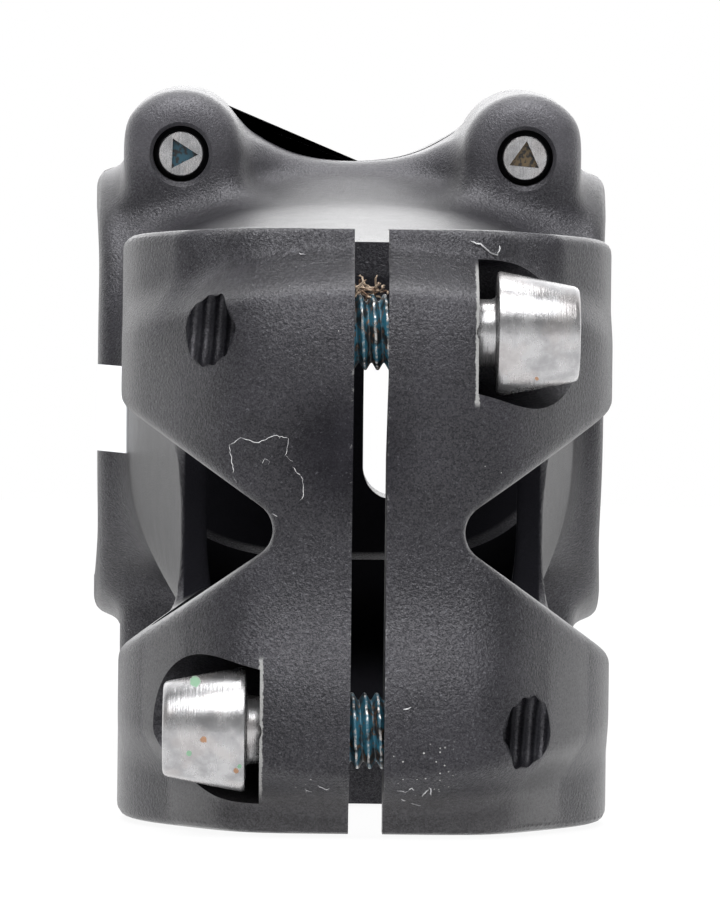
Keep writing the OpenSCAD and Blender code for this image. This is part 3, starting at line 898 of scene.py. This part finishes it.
# ---------------------------------------------------------------- floor, light, camera
def studio_white(name):
    """Nearly pure white to the camera and in reflections, pale and plain to everything else."""
    m, nt, b = material(name)
    link = nt.links.new
    b.inputs["Base Color"].default_value = (0.9, 0.9, 0.9, 1)
    b.inputs["Roughness"].default_value = 0.9
    b.inputs["Specular IOR Level"].default_value = 0.0
    path = node(nt, "ShaderNodeLightPath")
    glow = node(nt, "ShaderNodeEmission", in_0=(1, 1, 1, 1))
    # Reflections see it a little brighter near the part and dim far behind it
    x, y = millimetres(nt)[1:3]
    wedge = calc(nt, "SUBTRACT", calc(nt, "ABSOLUTE", x), product(nt, y, 0.4))
    behind = product(nt, fade(nt, wedge, 20.0, -20.0), fade(nt, y, 130.0, 260.0), 1.15)
    extra = calc(nt, "SUBTRACT", 0.35, behind)
    link(calc(nt, "ADD", 1.0, product(nt, path.outputs["Is Glossy Ray"], extra)), glow.inputs["Strength"])
    both = node(nt, "ShaderNodeMixShader")
    any_ray = calc(nt, "MAXIMUM", path.outputs["Is Camera Ray"], path.outputs["Is Glossy Ray"])
    link(product(nt, any_ray, 0.93), both.inputs["Fac"])
    link(b.outputs[0], both.inputs[1])
    link(glow.outputs[0], both.inputs[2])
    link(both.outputs[0], nt.nodes["Material Output"].inputs["Surface"])
    return m


floor_mesh = bpy.data.meshes.new("studio_floor")
floor_half = 3.0
corners = [(i * floor_half, j * floor_half, 0) for i, j in ((-1, -1), (1, -1), (1, 1), (-1, 1))]
floor_mesh.from_pydata(corners, [], [(0, 1, 2, 3)])
floor = bpy.data.objects.new("studio_floor", floor_mesh)
bpy.context.scene.collection.objects.link(floor)
floor.location.z = min(0.0, cad_box[0].z) - 0.0002
floor.data.materials.append(studio_white("studio_white"))

world = bpy.data.worlds.new("studio")
bpy.context.scene.world = world
world.use_nodes = True
wt = world.node_tree
wt.nodes.clear()
w_out = node(wt, "ShaderNodeOutputWorld")
w_path = node(wt, "ShaderNodeLightPath")
w_light = node(wt, "ShaderNodeBackground", in_0=(1, 1, 1, 1))
w_dir = node(wt, "ShaderNodeTexCoord")
w_part = node(wt, "ShaderNodeSeparateXYZ")
wt.links.new(w_dir.outputs["Generated"], w_part.inputs[0])
# Bright behind the part, a soft box over the camera with a dim gap under it, and a dim patch
# level with the part straight behind it
w_x = calc(wt, "ABSOLUTE", w_part.outputs[0])
w_y, w_z = w_part.outputs[1], w_part.outputs[2]
w_high = calc(wt, "ADD", 1.1, product(wt, fade(wt, w_z, 0.2, 0.5), 0.5))
w_back = product(wt, fade(wt, w_y, 0.1, 0.7), w_high)
w_glow = product(wt, fade(wt, w_y, 0.8, 0.97), fade(wt, w_x, 0.45, 0.15), 1.8)
w_front = fade(wt, w_y, -0.05, -0.3)
w_box = product(wt, fade(wt, w_z, 0.58, 0.68), fade(wt, w_z, 0.98, 0.94))
w_box = product(wt, w_box, fade(wt, w_x, 0.55, 0.4), w_front, 6.5)
w_gap = product(wt, fade(wt, w_z, 0.2, 0.32), fade(wt, w_z, 0.6, 0.52), w_front, 0.4)
w_level = calc(wt, "ADD", product(wt, w_front, 0.24), 0.35)
w_sum = calc(wt, "ADD", calc(wt, "ADD", w_back, w_glow), calc(wt, "ADD", w_box, w_level))
w_sum = calc(wt, "SUBTRACT", w_sum, w_gap)
w_dim = product(wt, fade(wt, w_x, 0.4, 0.2), fade(wt, w_z, 0.2, 0.06), fade(wt, w_y, 0.5, 0.8), 0.9)
w_sum = product(wt, w_sum, inverse(wt, w_dim))
wt.links.new(w_sum, w_light.inputs["Strength"])
w_white = node(wt, "ShaderNodeBackground", in_0=(1, 1, 1, 1), in_1=1.0)
w_mix = node(wt, "ShaderNodeMixShader")
wt.links.new(w_path.outputs["Is Camera Ray"], w_mix.inputs["Fac"])
wt.links.new(w_light.outputs[0], w_mix.inputs[1])
wt.links.new(w_white.outputs[0], w_mix.inputs[2])
wt.links.new(w_mix.outputs[0], w_out.inputs["Surface"])


def area_light(name, pos, target, size_xy, power):
    data = bpy.data.lights.new(name, "AREA")
    data.shape = "RECTANGLE"
    data.size, data.size_y = size_xy
    data.energy = power
    obj = bpy.data.objects.new(name, data)
    bpy.context.scene.collection.objects.link(obj)
    obj.location = pos
    obj.rotation_euler = (Vector(target) - Vector(pos)).to_track_quat("-Z", "Y").to_euler()
    return obj


area_light("top", (0.0, 0.1, 0.6), (0, 0.05, 0.03), (0.35, 0.25), 2.2)

cam_data = bpy.data.cameras.new("camera")
cam_data.lens = 207.42
cam_data.sensor_width = 36.0
cam_data.clip_start, cam_data.clip_end = 0.01, 20.0
cam = bpy.data.objects.new("camera", cam_data)
bpy.context.scene.collection.objects.link(cam)
yaw, pitch, roll = math.radians(0.824), math.radians(0.065), math.radians(0.665)
look = Vector((math.sin(yaw) * math.cos(pitch), math.cos(yaw) * math.cos(pitch), math.sin(pitch)))
cam.location = Vector((-5.51, -358.1, 23.66)) * MM
q = look.to_track_quat("-Z", "Y")
cam.rotation_mode = "QUATERNION"
cam.rotation_quaternion = q @ Matrix.Rotation(roll, 3, "Z").to_quaternion()
bpy.context.scene.camera = cam
bpy.context.scene.view_settings.view_transform = "Standard"
